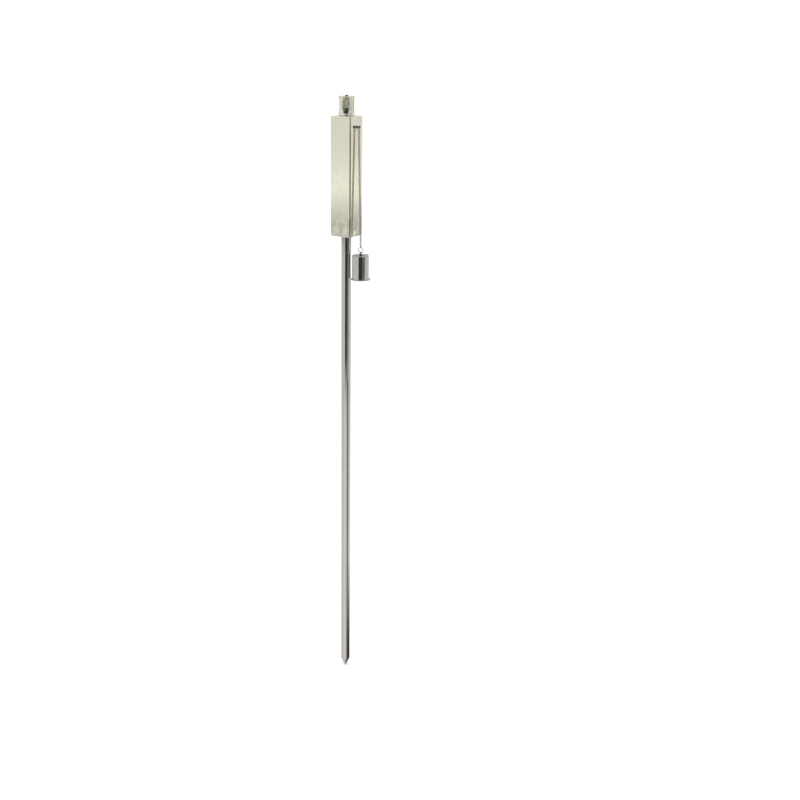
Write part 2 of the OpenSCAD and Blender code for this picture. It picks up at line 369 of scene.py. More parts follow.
def glass_fibre(name, tip_z):
    """Braided glass fibre, oily and brown towards a charred tip."""
    made, tree, bsdf = new_material(name)
    coords = add(tree, "ShaderNodeTexCoord").outputs["Object"]
    z = add(tree, "ShaderNodeSeparateXYZ", {"Vector": coords}).outputs[2]
    ragged = maths(tree, "ADD", z, spread(tree, noise(tree, 700, 4), -0.0016, 0.0016))
    char = spread(tree, ragged, 0.0, 1.0, tip_z - 7 * MM, tip_z - 2.5 * MM)
    singed = spread(tree, ragged, 0.0, 0.7, tip_z - 16 * MM, tip_z - 5 * MM)
    fibres = noise(tree, 5200, 3, (1, 1, 0.25))
    pale, shaded = (0.66, 0.67, 0.57, 1), (0.42, 0.42, 0.35, 1)
    tone = mixed(tree, spread(tree, fibres, 0, 1), pale, shaded)
    tone = mixed(tree, singed, tone, (0.16, 0.13, 0.09, 1))
    tone = mixed(tree, char, tone, (0.018, 0.016, 0.012, 1))
    tree.links.new(tone, bsdf.inputs["Base Color"])
    bsdf.inputs["Roughness"].default_value = 0.7
    bsdf.inputs["Sheen Weight"].default_value = 0.25
    tree.links.new(bump(tree, fibres, 0.05 * MM, 0.8), bsdf.inputs["Normal"])
    return made


def pressed_fibre(name):
    """Pale pressed fibre with fine speckle."""
    made, tree, bsdf = new_material(name)
    speckle = noise(tree, 1800, 5)
    tone = mixed(tree, spread(tree, speckle, 0, 1), (0.82, 0.80, 0.70, 1), (0.66, 0.63, 0.54, 1))
    rough = maths(tree, "ADD", spread(tree, speckle, 0.0, 0.2), 0.6)
    link_surface(tree, bsdf, tone, rough, bump(tree, speckle, 0.03 * MM, 0.5))
    return made


def rubber(name):
    """Black rubber with a dusty bloom."""
    made, tree, bsdf = new_material(name)
    bloom = noise(tree, 150, 5)
    tone = mixed(tree, spread(tree, bloom, 0, 1), (0.02, 0.02, 0.02, 1), (0.06, 0.06, 0.058, 1))
    rough = maths(tree, "ADD", spread(tree, bloom, 0.0, 0.15), 0.7)
    link_surface(tree, bsdf, tone, rough, bump(tree, noise(tree, 2500, 4), 0.02 * MM, 0.5))
    return made


CREAM = (0.86, 0.845, 0.745)
GREY = (0.475, 0.472, 0.455)
WICK_TOP = high("wick").z
GUARD_LOW, GUARD_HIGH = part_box("burner_guard")

M = {
    "body": steel("satin_steel", CREAM, 0.05, GRAIN_UP, 0.0015),
    "plate": steel("satin_steel_turned", (0.95, 0.935, 0.85), 0.16, GRAIN_ROUND, 0.004),
    "pole": steel("polished_pole_steel", GREY, 0.07, GRAIN_UP, 0.002, 0.12),
    "turned": steel("polished_turned_steel", GREY, 0.07, GRAIN_ROUND, 0.003, 0.10),
    "guard": steel(
        "burner_guard_steel",
        (0.84, 0.86, 0.77),
        0.09,
        GRAIN_ROUND,
        0.003,
        0.08,
        heat_tint(GUARD_LOW.z + 12 * MM, GUARD_HIGH.z + 4 * MM),
    ),
    "chain": steel("chain_steel", (0.41, 0.40, 0.36), 0.24, GRAIN_NONE, 0.003, 0.4),
    # Inside of the guard: painted shade, as darker mottled steel.
    "painted_shade_inside": painted_shade_inside("guard_inside_painted_shade"),
    "dark": dark_metal("darkened_steel", (0.125, 0.118, 0.085), 0.36),
    "tin": tinned("tinned_steel"),
    "wick": glass_fibre("glass_fibre_braid", WICK_TOP),
    "fibre": pressed_fibre("pressed_fibre"),
    "rubber": rubber("black_rubber"),
}

# ---------------------------------------------------------------- pole and ground point

POLE_R = high("pole_lower").x
POLE_BORE_R = POLE_R - 1 * MM


def pole_tube(node):
    """Polished tube whose softened ends meet its neighbours in a fine seam."""
    z0, z1 = low(node).z, high(node).z
    edge = 0.07 * MM
    outline = rounded(
        [
            (POLE_R, z0, edge),
            (POLE_R, z1, edge),
            (POLE_BORE_R, z1, edge / 2),
            (POLE_BORE_R, z0, edge / 2),
        ]
    )
    turned(f"{node}_tube", outline, "torch", [node], "polished_steel", M["pole"])


def ground_point():
    """Turned cone with a blunt tip and softened shoulder, on the plug inside the lowest tube."""
    foot, top = low("ground_point").z, high("ground_point").z
    plug_r, tip_r, shoulder = POLE_BORE_R - 0.05 * MM, 1.25 * MM, 0.4 * MM
    outline = rounded(
        [
            (0, foot, 0),
            (tip_r, foot, 0.8 * MM),
            (POLE_R, -shoulder, 0.5 * MM),
            (POLE_R, 0, 0.15 * MM),
            (plug_r, 0, 0),
            (plug_r, top, 0.8 * MM),
            (0, top, 0),
        ],
        steps=5,
        support=0.05 * MM,
    )
    args = ("torch", ["ground_point"], "polished_steel", M["turned"])
    turned("ground_point_cone", outline, *args, closed=False)


for tube_node in ("pole_lower", "pole_middle", "pole_upper"):
    pole_tube(tube_node)
ground_point()

# ---------------------------------------------------------------- housing

BODY_HALF = high("housing_shell").x
BODY_WALL = 0.9 * MM
BODY_CORNER = 3 * MM
NECK_HOLE_R, STUD_HOLE_R = 13.55 * MM, 6.05 * MM
PLATE_EDGE = 0.2 * MM


def housing_shell():
    """Square tube with bent corners and softened cut ends."""
    z0, z1 = low("housing_shell").z, high("housing_shell").z
    edge = 0.3 * MM
    outline = rounded(
        [
            (0, z0, edge),
            (0, z1, edge),
            (BODY_WALL, z1, edge / 2),
            (BODY_WALL, z0, edge / 2),
        ]
    )
    loops = [square(BODY_HALF - p.x, BODY_CORNER - p.x, p.y) for p in outline]
    bm = bmesh.new()
    add_loft(bm, loops)
    args = ("torch", ["housing_shell"], "satin_steel", M["body"])
    fit(new_mesh("housing_square_tube", bm), *args)


def housing_plate(node, hole_r, edge):
    """Plate that closes one end of the housing, with a round hole and softened edges."""
    lo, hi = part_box(node)
    outer = square(hi.x, BODY_CORNER - BODY_WALL, 0)
    loops = []
    for inset, z in ((edge, lo.z), (0, lo.z + edge), (0, hi.z - edge), (edge, hi.z)):
        loops.append(square(hi.x - inset, BODY_CORNER - BODY_WALL - inset, z))
    for z in (hi.z, lo.z):
        loops.append(circle_beside(outer, hole_r, z))
    bm = bmesh.new()
    add_loft(bm, loops)
    args = ("torch", [node], "satin_steel", M["plate"])
    fit(new_mesh(f"{node}_sheet", bm), *args)


housing_shell()
housing_plate("housing_top_plate", NECK_HOLE_R, PLATE_EDGE)
housing_plate("housing_bottom_plate", STUD_HOLE_R, PLATE_EDGE)

# ---------------------------------------------------------------- burner

GUARD_R = 18.25 * MM
GUARD_WALL = 0.8 * MM
GUARD_WALL_STEPS, RIM_STEPS, RIM_ROLL = 72, 19, math.radians(300)
WINDOW_PLACES, CLOSED_PLACE = 4, 2
WINDOW_STEPS, PILLAR_STEPS = 14, 16
WINDOW_Z0 = GUARD_LOW.z + 1.4 * MM
WINDOW_Z1 = GUARD_HIGH.z - 2.6 * MM
WINDOW_HALF, WINDOW_END_HALF = 8.75 * MM, 5.25 * MM
WINDOW_FACING = math.radians(25)
HUB_R, HUB_PITCH = 11 * MM, 2 * MM
HOLDER_R, HOLDER_BORE_R = 4.96 * MM, 3.56 * MM


def window_half_angle(z):
    """Half the angle that a window takes at a height: an arc between its sill and its head."""
    half_h = (WINDOW_Z1 - WINDOW_Z0) / 2
    sag = WINDOW_HALF - WINDOW_END_HALF
    arc_r = (half_h**2 + sag**2) / (2 * sag)
    t = min(abs(z - (WINDOW_Z0 + WINDOW_Z1) / 2), half_h)
    return math.asin((WINDOW_HALF - arc_r + math.sqrt(arc_r**2 - t**2)) / GUARD_R)


def guard_rows():
    """(radius, height) down the middle of the guard's wall, from its skirt to its rolled rim."""
    mid_r, skirt_r = GUARD_R - GUARD_WALL / 2, high("burner_guard").x - GUARD_WALL / 2
    step_z = GUARD_LOW.z + 5 * MM
    rows = [(skirt_r, GUARD_LOW.z), (skirt_r, GUARD_LOW.z + 0.5 * MM)]
    for k in range(GUARD_WALL_STEPS + 1):
        z = WINDOW_Z0 + (WINDOW_Z1 - WINDOW_Z0) * k / GUARD_WALL_STEPS
        blend = min(max((z - step_z + 0.4 * MM) / (0.8 * MM), 0), 1)
        rows.append((skirt_r + (mid_r - skirt_r) * blend, z))
    roll_r = 1.1 * MM
    centre_r, centre_z = GUARD_R - roll_r, GUARD_HIGH.z - roll_r
    curl = roll_r - GUARD_WALL / 2
    rows.append((mid_r, WINDOW_Z1 + 0.5 * MM))
    for k in range(RIM_STEPS + 1):
        a = RIM_ROLL * k / RIM_STEPS
        rows.append((centre_r + curl * math.cos(a), centre_z + curl * math.sin(a)))
    return rows


def guard_angles(z):
    """Angles round the guard at a height, for each window and the pillar after it.

    The third window's place, at the back, stays closed.
    """
    half = window_half_angle(z)
    pillar = TURN / WINDOW_PLACES - 2 * half
    angles = []
    for w in range(WINDOW_PLACES):
        facing = WINDOW_FACING - math.pi / 2 + w * TURN / WINDOW_PLACES
        start, past, opened = facing - half, facing + half, w != CLOSED_PLACE
        angles += [(start + 2 * half * k / WINDOW_STEPS, opened) for k in range(WINDOW_STEPS)]
        angles += [(past + pillar * k / PILLAR_STEPS, False) for k in range(PILLAR_STEPS)]
    return angles


def burner_guard():
    """Tube with three barrel-shaped windows, a skirt at its foot and a rim rolled inwards."""
    bm = bmesh.new()
    openings = [opened for _, opened in guard_angles(WINDOW_Z0)]
    rows = []
    for r, z in guard_rows():
        angles = [a for a, _ in guard_angles(z)]
        rows.append([bm.verts.new((r * math.cos(a), r * math.sin(a), z)) for a in angles])
    for a, b in zip(rows, rows[1:]):
        in_windows = a[0].co.z > WINDOW_Z0 - 1e-6 and b[0].co.z < WINDOW_Z1 + 1e-6
        for i, opened in enumerate(openings):
            if opened and in_windows:
                continue
            j = (i + 1) % len(openings)
            bm.faces.new((a[i], a[j], b[j], b[i]))
    loose = [v for v in bm.verts if not v.link_faces]
    bmesh.ops.delete(bm, geom=loose, context="VERTS")
    made = new_mesh("burner_guard_windows", bm, turn_faces=False)
    wall = made.modifiers.new("wall", "SOLIDIFY")
    wall.thickness, wall.offset, wall.use_even_offset = GUARD_WALL, 0, True
    wall.material_offset = 1
    soften = made.modifiers.new("soften", "BEVEL")
    soften.width, soften.segments, soften.angle_limit = 0.12 * MM, 2, math.radians(50)
    fit(made, "burner", ["burner_guard"], "polished_steel", M["guard"])
    # The wall's inner shell gets the painted shade material.
    made.data.materials.append(M["painted_shade_inside"])


def thread(radius, depth, pitch, z0, z1, rows_a_turn=8):
    """Loops of a screw thread: a helical groove that fades out at both ends."""
    loops = []
    count = int((z1 - z0) / pitch * rows_a_turn)
    for k in range(count + 1):
        z = z0 + (z1 - z0) * k / count
        fade = min(1, 3 * (z - z0) / pitch, 3 * (z1 - z) / pitch)

        def radius_at(a, z=z, fade=fade):
            phase = (z / pitch - a / TURN) % 1
            return radius - depth * fade * abs(2 * phase - 1)

        loops.append(circle(radius_at, z))
    return loops


def burner_base():
    """Turned disc with softened edges on a threaded hub, bored for the wick holder."""
    lo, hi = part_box("burner_base")
    disc_z, disc_r = hi.z - 2.6 * MM, hi.x
    bore_r = HOLDER_R + 0.05 * MM
    top = rounded(
        [(disc_r, disc_z, 0.3 * MM), (disc_r, hi.z, 0.7 * MM), (bore_r, hi.z, 0.1 * MM)],
    )[:-1]
    loops = [circle(bore_r, lo.z), circle(HUB_R - 0.4 * MM, lo.z)]
    loops += thread(HUB_R, 0.7 * MM, HUB_PITCH, lo.z + 0.5 * MM, disc_z - 1 * MM)
    loops += [circle(HUB_R - 0.3 * MM, disc_z - 0.2 * MM), circle(HUB_R, disc_z)]
    loops += [circle(p.x, p.y) for p in top]
    bm = bmesh.new()
    add_loft(bm, loops)
    args = ("burner", ["burner_base"], "satin_steel", M["plate"])
    fit(new_mesh("burner_base_disc", bm), *args)


def wick_holder():
    """Flared foot drawn up into a collar round the wick, on the tail tube below."""
    lo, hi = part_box("wick_holder")
    foot_z, foot_r = GUARD_LOW.z, 8 * MM
    collar_r, collar_z = 4.3 * MM, hi.z
    outline = [(HOLDER_BORE_R, lo.z), (HOLDER_R - 0.3 * MM, lo.z), (HOLDER_R, lo.z + 0.3 * MM)]
    outline += [(HOLDER_R, foot_z), (foot_r - 0.3 * MM, foot_z), (foot_r, foot_z + 0.3 * MM)]
    outline += [(foot_r, foot_z + 0.8 * MM)]
    for k in range(1, 17):
        t = k / 16
        flare = (1 - t) ** 1.25
        z = foot_z + 1 * MM + (collar_z - 1.2 * MM - foot_z - 1 * MM) * t
        outline.append((collar_r - 0.2 * MM + (foot_r - collar_r) * flare, z))
    outline += [(collar_r, collar_z - 0.9 * MM), (collar_r, collar_z - 0.2 * MM)]
    outline += [(collar_r - 0.2 * MM, collar_z), (HOLDER_BORE_R + 0.1 * MM, collar_z)]
    outline += [(HOLDER_BORE_R, collar_z - 0.2 * MM)]
    turned("wick_holder_flare", outline, "burner", ["wick_holder"], "dark_steel", M["dark"])


def braid_radius(radius, a, z):
    """Radius of a round braid: eight strands each way, over one and under one."""
    strands, pitch, depth = 8, 11 * MM, 0.42 * MM
    one, other = (a * strands / TURN + s * z * strands / pitch for s in (1, -1))
    over = (math.floor(one) + math.floor(other)) % 2
    across = (one if over else other) % 1
    along = (other if over else one) % 1
    crown = 0.55 + 0.45 * math.sin(math.pi * along)
    return radius - depth * (1 - math.sin(math.pi * across) * crown)


def wick():
    """Glass-fibre braid with a worn, frayed tip."""
    lo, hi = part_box("wick")
    radius, count = hi.x, 96
    top_z, fine_z = hi.z - 1.2 * MM, hi.z - 62 * MM
    heights = [lo.z + (fine_z - lo.z) * k / 60 for k in range(60)]
    heights += [fine_z + (top_z - fine_z) * k / 200 for k in range(201)]
    loops = [[Vector((0, 0, lo.z))] * count]
    for z in heights:
        worn = 1 - 0.16 * max(0, 1 - (top_z - z) / (2.2 * MM)) ** 2
        loops.append(circle(lambda a, z=z, w=worn: braid_radius(radius, a, z) * w, z, count))
    for k in range(1, 6):
        shrink = 0.84 * (1 - k / 5.01)
        lift = 0.35 * MM * math.sin(math.pi * k / 5)
        inner = circle(lambda a, s=shrink: braid_radius(radius, a, top_z) * s, top_z, count)
        loops.append([p + Vector((0, 0, lift)) for p in inner])
    loops.append([Vector((0, 0, top_z))] * count)
    bm = bmesh.new()
    add_loft(bm, loops, closed=False)
    add_frayed_ends(bm, radius, top_z, hi.z)
    args = ("wick", ["wick"], "glass_fibre", M["wick"])
    fit(new_mesh("wick_braid", bm), *args)


def add_frayed_ends(bm, radius, base_z, tip_z):
    """Short loose yarn ends that stand out of the wick's tip."""
    draw = random.Random(7)
    for _ in range(46):
        a, r = draw.uniform(0, TURN), radius * math.sqrt(draw.uniform(0.02, 0.72))
        foot = Vector((r * math.cos(a), r * math.sin(a), base_z - 0.3 * MM))
        lean = Vector((math.cos(a), math.sin(a), 0)) * draw.uniform(-0.2, 0.5) * MM
        tall = (tip_z - base_z) * draw.uniform(0.6, 1.0)
        rise = Vector((0, 0, tall + 0.3 * MM))
        path = [foot + lean * t * t + rise * t for t in (0, 0.4, 0.75, 1)]
        side = Vector((-math.sin(a), math.cos(a), 0))
        widths = [0.26 * MM, 0.24 * MM, 0.18 * MM, 0.06 * MM]
        add_wire(bm, path, side, lambda i, w=widths: (w[i], w[i]), 6, closed=False)


burner_base()
burner_guard()
wick_holder()
wick()

# ---------------------------------------------------------------- chain pin and chain

PIN_Z = middle("pin_washer").z
PIN_END_X = high("chain_pin").x
ALONG_X = Matrix.Rotation(math.pi / 2, 4, "Y")


def on_pin_axis(x):
    """Place of a turned piece that lies along the pin's axis, starting at x."""
    return Matrix.Translation((x, 0, PIN_Z)) @ ALONG_X


def chain_pin():
    """Pin with a domed head and a plain shank where the ring hangs."""
    start = low("chain_pin").x
    length, head_r, head_t, pin_r = PIN_END_X - start, 3.4 * MM, 1.8 * MM, 2 * MM
    outline = [(0, 0), (pin_r - 0.4 * MM, 0), (pin_r, 0.4 * MM)]
    outline += [(pin_r, length - head_t - 0.1 * MM), (pin_r + 0.1 * MM, length - head_t)]
    outline += [(head_r - 0.2 * MM, length - head_t), (head_r, length - head_t + 0.2 * MM)]
    for k in range(9):
        a = math.pi / 2 * k / 8
        rise = head_t * 0.6 * math.sin(a)
        outline.append((head_r * math.cos(a) ** 0.6 if k < 8 else 0, length - head_t * 0.6 + rise))
    args = ("torch", ["chain_pin"], "dark_steel", M["dark"])
    turned("chain_pin_domed", outline, *args, closed=False, place=on_pin_axis(start))


def pin_washer():
    """Round washer between the pin's head and the housing."""
    lo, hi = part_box("pin_washer")
    t, outer = hi.x - lo.x, (hi.z - lo.z) / 2
    inner = 2.05 * MM
    corners = [(outer, 0, 0.1 * MM), (outer, t, 0.3 * MM), (inner, t, 0.15 * MM), (inner, 0, 0)]
    outline = rounded(corners, support=0.03 * MM)
    args = ("torch", ["pin_washer"], "polished_steel", M["turned"])
    turned("pin_washer_round", outline, *args, place=on_pin_axis(lo.x))


LINK_COUNT = 52
LINK_R = 0.7 * MM
BOW_R = 2 * MM
SLACK = 0.1 * MM
RING_R, RING_WIRE_R = 4.3 * MM, 0.6 * MM
RING_S = RING_R - RING_WIRE_R - 2 * MM - SLACK
END_RING = middle("end_ring")
CHAIN_TOP = Vector((33 * MM, 0, PIN_Z))
CHAIN_FOOT = Vector((END_RING.x, 0, high("end_ring").z - 1.4 * MM - SLACK - LINK_R))
CHAIN_LEAN = math.atan2(CHAIN_FOOT.x - CHAIN_TOP.x, CHAIN_TOP.z - CHAIN_FOOT.z)
FIRST_BOW_S = RING_S + RING_R - RING_WIRE_R - SLACK - LINK_R
CHAIN_LENGTH = (CHAIN_FOOT - CHAIN_TOP).length
LINK_PITCH = (CHAIN_LENGTH - FIRST_BOW_S - 2 * LINK_R - SLACK) / LINK_COUNT
LINK_SPAN = LINK_PITCH + 2 * LINK_R + SLACK


def on_chain(s):
    """Place on the chain's leaning line, a distance s down from the pin's axis."""
    lean = Matrix.Rotation(-CHAIN_LEAN, 4, "Y")
    return Matrix.Translation(CHAIN_TOP) @ lean @ Matrix.Translation((0, 0, -s))


def link_path():
    """Middle line of a link in the XZ plane, its upper bow at the origin."""
    side = LINK_SPAN - 2 * BOW_R
    path = []
    for k in range(11):
        a = math.pi * k / 10
        path.append(Vector((BOW_R * math.cos(a), 0, BOW_R * math.sin(a) - BOW_R)))
    path += [Vector((-BOW_R, 0, -BOW_R - side * k / 8)) for k in range(1, 8)]
    for k in range(11):
        a = math.pi + math.pi * k / 10
        path.append(Vector((BOW_R * math.cos(a), 0, BOW_R * math.sin(a) - BOW_R - side)))
    return path


def weld_size(i):
    """Half sizes of a link's wire: a small weld bead at the middle of one side."""
    bead = {13: 1.04, 14: 1.13, 15: 1.04}.get(i, 1.0)
    return LINK_R * bead, LINK_R * bead


def chain_length(node, body, first, past):
    """One length of chain: welded links, each a quarter turn from its neighbour."""
    bm = bmesh.new()
    for i in range(first, past):
        one = bmesh.new()
        add_wire(one, link_path(), Vector((0, 1, 0)), weld_size)
        quarter = Matrix.Rotation(math.pi / 2 * (i % 2) + math.pi * (i % 4 // 2), 4, "Z")
        join_into(bm, one, on_chain(FIRST_BOW_S + i * LINK_PITCH) @ quarter)
    fit(new_mesh(f"{node}_welded", bm), body, [node], "chain_steel", M["chain"])


def end_size(size, count):
    """Half sizes of a wire whose cut ends are slightly rounded."""

    def section(i):
        end = 0.8 if i in (0, count - 1) else 1.0
        return size[0] * end, size[1] * end

    return section


def top_ring():
    """Open jump ring on the pin, its cut ends almost closed."""
    count = 72
    gap = math.radians(3)
    path = []
    for k in range(count):
        a = gap / 2 + (TURN - gap) * k / (count - 1) + math.radians(60)
        path.append(Vector((0, RING_R * math.cos(a), RING_R * math.sin(a))))
    bm = bmesh.new()
    size = (RING_WIRE_R, RING_WIRE_R)
    add_wire(bm, path, Vector((1, 0, 0)), end_size(size, count), closed=False)
    made = new_mesh("top_jump_ring", bm, on_chain(RING_S))
    fit(made, "chain_top", ["top_ring"], "chain_steel", M["chain"])


def end_ring():
    """Split ring of two flat coils that joins the chain to the snuffer."""
    lo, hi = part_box("end_ring")
    wire = (hi.y - lo.y) / 2
    ring_r = (hi.z - lo.z) / 2 - wire
    count = 150
    coil = wire / 2 - 0.01 * MM
    path = []
    for k in range(count):
        t = k / (count - 1)
        turn = TURN * 1.985 * t + math.radians(115)
        shift = min(max((t - 0.46) / 0.08, 0), 1)
        y = (2 * shift - 1) * wire / 2
        path.append(
            END_RING + Vector((ring_r * math.cos(turn), y, ring_r * math.sin(turn)))
        )
    bm = bmesh.new()
    size = end_size((wire, coil), count)
    add_wire(bm, path, Vector((0, 1, 0)), size, 16, closed=False)
    fit(new_mesh("end_split_ring", bm), "end_ring", ["end_ring"], "chain_steel", M["chain"])


chain_pin()
pin_washer()
top_ring()
chain_length("chain_top_links", "chain_top", 0, 9)
chain_length("chain_bend_links", "chain_bend", 9, 13)
chain_length("chain_long_links", "chain_long", 13, 39)
chain_length("chain_end_links", "chain_end", 39, 52)
end_ring()

# ---------------------------------------------------------------- snuffer

BELL_LOW, BELL_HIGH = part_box("snuffer_bell")
BELL_X = (BELL_LOW.x + BELL_HIGH.x) / 2
AT_BELL = Matrix.Translation((BELL_X, 0, 0))


def snuffer_bell():
    """Spun cup with a rounded shoulder and a flat brim whose edge is beaded."""
    z0, z1 = BELL_LOW.z, BELL_HIGH.z
    wall, cup_r, brim_r = 0.8 * MM, 19.75 * MM, (BELL_HIGH.x - BELL_LOW.x) / 2
    brim_t, stem_r = 1.6 * MM, 1.55 * MM
    outline = rounded(
        [
            (stem_r, z1, 0),
            (cup_r, z1, 2.4 * MM),
            (cup_r, z0 + brim_t, 0.9 * MM),
            (brim_r, z0 + brim_t, 0.7 * MM),
            (brim_r, z0, 0.7 * MM),
            (cup_r - wall, z0, 0.4 * MM),
            (cup_r - wall, z1 - wall, 1.7 * MM),
            (stem_r, z1 - wall, 0),
        ],
        steps=7,
        support=0.08 * MM,
    )
    args = ("snuffer", ["snuffer_bell"], "polished_steel", M["turned"])
    turned("snuffer_spun_bell", outline, *args, place=AT_BELL)


def snuffer_eyelet():
    """Screw eye: a ring on a round collar, its stem through the snuffer's top."""
    lo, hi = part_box("snuffer_eyelet")
    wire_r, ring_r = 0.95 * MM, 2.75 * MM
    ring_z = hi.z - wire_r - ring_r
    path = []
    for k in range(64):
        a = TURN * k / 64
        path.append(Vector((BELL_X, ring_r * math.cos(a), ring_z + ring_r * math.sin(a))))
    bm = bmesh.new()
    add_wire(bm, path, Vector((1, 0, 0)), lambda i: (wire_r, wire_r), 16)
    stem_r, collar_r, z = 1.5 * MM, 3.4 * MM, BELL_HIGH.z
    collar = rounded(
        [
            (0, lo.z, 0),
            (stem_r, lo.z, 0.3 * MM),
            (stem_r, z, 0),
            (collar_r, z, 0.1 * MM),
            (collar_r, z + 0.8 * MM, 0.35 * MM),
            (1.6 * MM, z + 0.8 * MM, 0.2 * MM),
            (1.1 * MM, z + 1.3 * MM, 0.2 * MM),
            (0, z + 1.3 * MM, 0),
        ],
        support=0.04 * MM,
    )
    stem = bmesh.new()
    add_lathe(stem, collar, closed=False, count=64)
    join_into(bm, stem, AT_BELL)
    args = ("snuffer", ["snuffer_eyelet"], "dark_steel", M["dark"])
    fit(new_mesh("snuffer_screw_eye", bm), *args)


snuffer_bell()
snuffer_eyelet()

# ---------------------------------------------------------------- CAD nodes that stay

KEPT = {
    "dark": ["pole_studs", "pole_sockets"],
    "tin": ["fuel_canister", "canister_lid"],
    "turned": ["filler_neck", "holder_nut", "pin_nut", "eyelet_nut"],
    "fibre": ["burner_gasket"],
    "rubber": ["canister_pad"],
}
for finish_name, kept_nodes in KEPT.items():
    for kept in kept_nodes:
        NODES[kept].data.materials.clear()
        NODES[kept].data.materials.append(M[finish_name])

# ---------------------------------------------------------------- studio

FLOOR_Z = low("ground_point").z
FADE_FROM, FADE_TO = 2.2, 3.3
WHITE = (1.1, 1.1, 1.1, 1)
FLAG_TONE, FLAG_SHARE = (0.03, 0.025, 0.02, 1), 0.97

# The world's colour by tilt above the horizon, in degrees, as reflections see it.
RAMP_END = 20
STUDIO_TONES = (
    (-20, (1.00, 1.00, 0.98)),
    (-9.2, (1.00, 1.00, 0.97)),
    (-8.9, (0.43, 0.42, 0.39)),
    (-8.2, (0.50, 0.48, 0.45)),
    (-6.6, (1.00, 1.02, 0.93)),
    (-5.2, (0.82, 0.81, 0.75)),
    (-3.0, (0.76, 0.74, 0.69)),
    (0, (0.92, 0.92, 0.88)),
    (12, (1.12, 1.12, 1.11)),
)

# Dark flags round the studio: azimuths and tilts in degrees, each as the start of the soft edge,
# its end, and the same on the far side; then how dark the flag is. 0 is in front, 90 to the right.
FLAGS = (
    ((-1, 6, 50, 60), (-60, -50, -3.1, -2.7), 1.0),
    ((44, 54, 79, 100), (-22, -20, -9.0, -8.6), 0.7),
    ((44, 54, 86, 102), (-11.1, -10.7, -9.4, -9.1), 0.9),
    ((44, 54, 105, 140), (-9.0, -8.6, -3.35, -3.1), 0.9),
    ((6, 14, 54, 62), (-2.6, -2.45, -1.5, -0.9), 0.85),
    ((-1, 8, 50, 62), (4, 12, 75, 85), 0.9),
    ((-168, -150, -112, -96), (-60, -50, 10, 20), 0.55),
)


def distance_out(tree, place):
    """Horizontal distance of a place from the Z axis."""
    flat = add(tree, "ShaderNodeVectorMath", {0: place, 1: (1, 1, 0)}, operation="MULTIPLY")
    length = add(tree, "ShaderNodeVectorMath", {0: flat.outputs[0]}, operation="LENGTH")
    return length.outputs["Value"]


def floor():
    """Round pale floor that fades into the background."""
    bm = bmesh.new()
    add_loft(bm, [circle(r, FLOOR_Z, 96) for r in (0.0, 1.0, 2.2, 3.4)], closed=False)
    made = new_mesh("floor", bm)
    material, tree, bsdf = new_material("pale_floor")
    coords = add(tree, "ShaderNodeTexCoord").outputs["Object"]
    solid = spread(tree, distance_out(tree, coords), 1.0, 0.0, FADE_FROM, FADE_TO)
    tree.links.new(solid, bsdf.inputs["Alpha"])
    bsdf.inputs["Base Color"].default_value = (0.94, 0.94, 0.94, 1)
    bsdf.inputs["Roughness"].default_value = 0.8
    bsdf.inputs["Emission Color"].default_value = (1, 1, 1, 1)
    bsdf.inputs["Emission Strength"].default_value = 0.12
    made.data.materials.append(material)


def between(tree, value, a, b, c, d):
    """1 between b and c, falling to 0 at a and d; angles in degrees."""
    a, b, c, d = (math.radians(x) for x in (a, b, c, d))
    up = spread(tree, value, 0.0, 1.0, a, b)
    down = spread(tree, value, 1.0, 0.0, c, d)
    return maths(tree, "MULTIPLY", up, down)


def turn_about(tree, way):
    """Azimuth of a direction or place, in radians from the front towards the right."""
    parts = add(tree, "ShaderNodeSeparateXYZ", {"Vector": way})
    back = maths(tree, "MULTIPLY", parts.outputs[1], -1.0)
    return maths(tree, "ARCTAN2", parts.outputs[0], back)


def flag_cover(tree, coords):
    """How much of the floor the cloth covers: dark fans to the right, and faint sides."""
    turn = turn_about(tree, coords)
    near = spread(tree, distance_out(tree, coords), 1.0, 0.0, 0.10, 0.9)
    near_fan = maths(tree, "MULTIPLY", between(tree, turn, 53, 64, 140, 185), near)
    far_fan = maths(tree, "MULTIPLY", between(tree, turn, 50, 62, 84, 108), 0.85)
    left = maths(tree, "MULTIPLY", between(tree, turn, -150, -60, -30, -6), 0.20)
    right = maths(tree, "MULTIPLY", between(tree, turn, 8, 24, 150, 185), 0.13)
    fans = maths(tree, "MAXIMUM", far_fan, near_fan)
    return maths(tree, "MAXIMUM", fans, maths(tree, "MAXIMUM", left, right))


def floor_flag():
    """Dark cloth on the floor, seen only as a reflection in the lower pole and its point."""
    bm = bmesh.new()
    z = FLOOR_Z + 1 * MM
    add_loft(bm, [circle(r, z, 96) for r in (0.0, 0.5, 1.5, 2.8)], closed=False)
    made = new_mesh("floor_flag", bm)
    material, tree, bsdf = new_material("flag_cloth")
    coords = add(tree, "ShaderNodeTexCoord").outputs["Object"]
    tree.links.new(flag_cover(tree, coords), bsdf.inputs["Alpha"])
    weave = noise(tree, 600, 3)
    tone = mixed(tree, weave, (0.09, 0.062, 0.05, 1), (0.13, 0.09, 0.075, 1))
    tree.links.new(tone, bsdf.inputs["Base Color"])
    bsdf.inputs["Roughness"].default_value = 1
    bsdf.inputs["Specular IOR Level"].default_value = 0
    made.data.materials.append(material)
    made.visible_camera = made.visible_diffuse = made.visible_shadow = False


def studio_tones(tree, tilt):
    """The studio's colour by tilt above the horizon."""
    ends = {"From Min": math.radians(-RAMP_END), "From Max": math.radians(RAMP_END)}
    along = add(tree, "ShaderNodeMapRange", {"Value": tilt, **ends})
    ramp = add(tree, "ShaderNodeValToRGB", {0: along.outputs[0]})
    band = ramp.color_ramp
    while len(band.elements) < len(STUDIO_TONES):
        band.elements.new(0.5)
    for element, (degrees, colour) in zip(band.elements, STUDIO_TONES):
        element.position = (degrees + RAMP_END) / (2 * RAMP_END)
        element.color = (*colour, 1)
    return ramp.outputs[0]


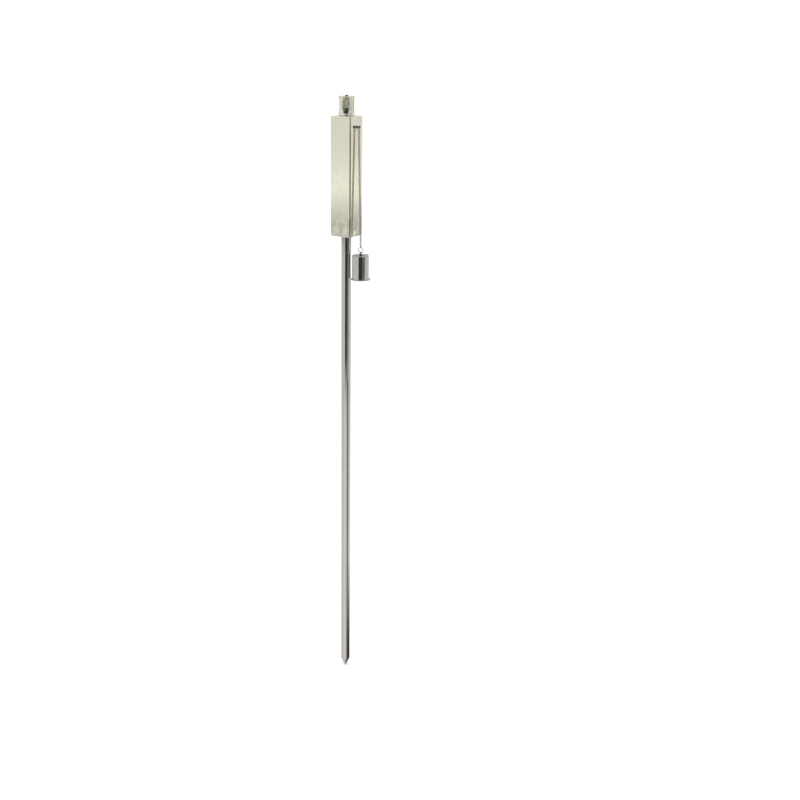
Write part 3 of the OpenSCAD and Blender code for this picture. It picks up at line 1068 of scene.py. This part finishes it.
def studio_flags(tree, turn, tilt, glossy):
    """How dark the studio is in a direction: flags, and for reflections a dimmer upper part."""
    dark = 0.0
    for across, upright, depth in FLAGS:
        shape = between(tree, turn, *across), between(tree, tilt, *upright)
        shade_here = maths(tree, "MULTIPLY", maths(tree, "MULTIPLY", *shape), depth)
        dark = maths(tree, "MAXIMUM", shade_here, dark)
    above = spread(tree, tilt, 0.0, 0.26, 0.0, math.radians(9))
    return maths(tree, "MAXIMUM", dark, maths(tree, "MULTIPLY", above, glossy))


def studio_world():
    """White background for the camera, and for all other rays a pale studio with dark flags."""
    world = bpy.data.worlds.new("studio")
    bpy.context.scene.world = world
    world.use_nodes = True
    tree = world.node_tree
    tree.nodes.clear()
    way = add(tree, "ShaderNodeTexCoord").outputs["Generated"]
    height = add(tree, "ShaderNodeSeparateXYZ", {"Vector": way}).outputs[2]
    tilt = maths(tree, "ARCSINE", height)
    ray = add(tree, "ShaderNodeLightPath").outputs
    dark = studio_flags(tree, turn_about(tree, way), tilt, ray["Is Glossy Ray"])
    share = maths(tree, "MULTIPLY", dark, FLAG_SHARE)
    seen = mixed(tree, share, studio_tones(tree, tilt), FLAG_TONE)
    shown = mixed(tree, ray["Is Camera Ray"], seen, WHITE)
    background = add(tree, "ShaderNodeBackground", {"Color": shown, "Strength": 1.0})
    out = add(tree, "ShaderNodeOutputWorld")
    tree.links.new(background.outputs[0], out.inputs[0])


def softbox(name, place, target, size, power):
    """Round soft light that the camera and reflections don't see."""
    light = bpy.data.lights.new(name, "AREA")
    light.shape, light.size, light.energy = "DISK", size, power
    made = bpy.data.objects.new(name, light)
    made.location = place
    made.rotation_euler = (Vector(target) - Vector(place)).to_track_quat("-Z", "Y").to_euler()
    bpy.context.scene.collection.objects.link(made)
    made.visible_camera = made.visible_glossy = False


def camera():
    """Camera above the torch's top, to the right of its front, tilted down along the pole."""
    azimuth, pitch, roll = math.radians(32.19), math.radians(16.71), 0.00235
    distance, eye_z = 2.8, 1.548
    data = bpy.data.cameras.new("camera")
    data.sensor_width, data.lens, data.shift_x = 36, 53.27, 0.0675
    data.clip_start, data.clip_end = 0.1, 60
    made = bpy.data.objects.new("camera", data)
    aim = Matrix.Rotation(azimuth, 4, "Z") @ Matrix.Rotation(math.pi / 2 - pitch, 4, "X")
    eye = (distance * math.sin(azimuth), -distance * math.cos(azimuth), eye_z)
    made.matrix_world = Matrix.Translation(eye) @ aim @ Matrix.Rotation(roll, 4, "Z")
    bpy.context.scene.collection.objects.link(made)
    bpy.context.scene.camera = made


floor()
floor_flag()
studio_world()
softbox("overhead", (0.4, -0.6, 3.6), (0, 0, 0.6), 2.4, 38)
camera()
bpy.context.scene.view_settings.view_transform = "Standard"
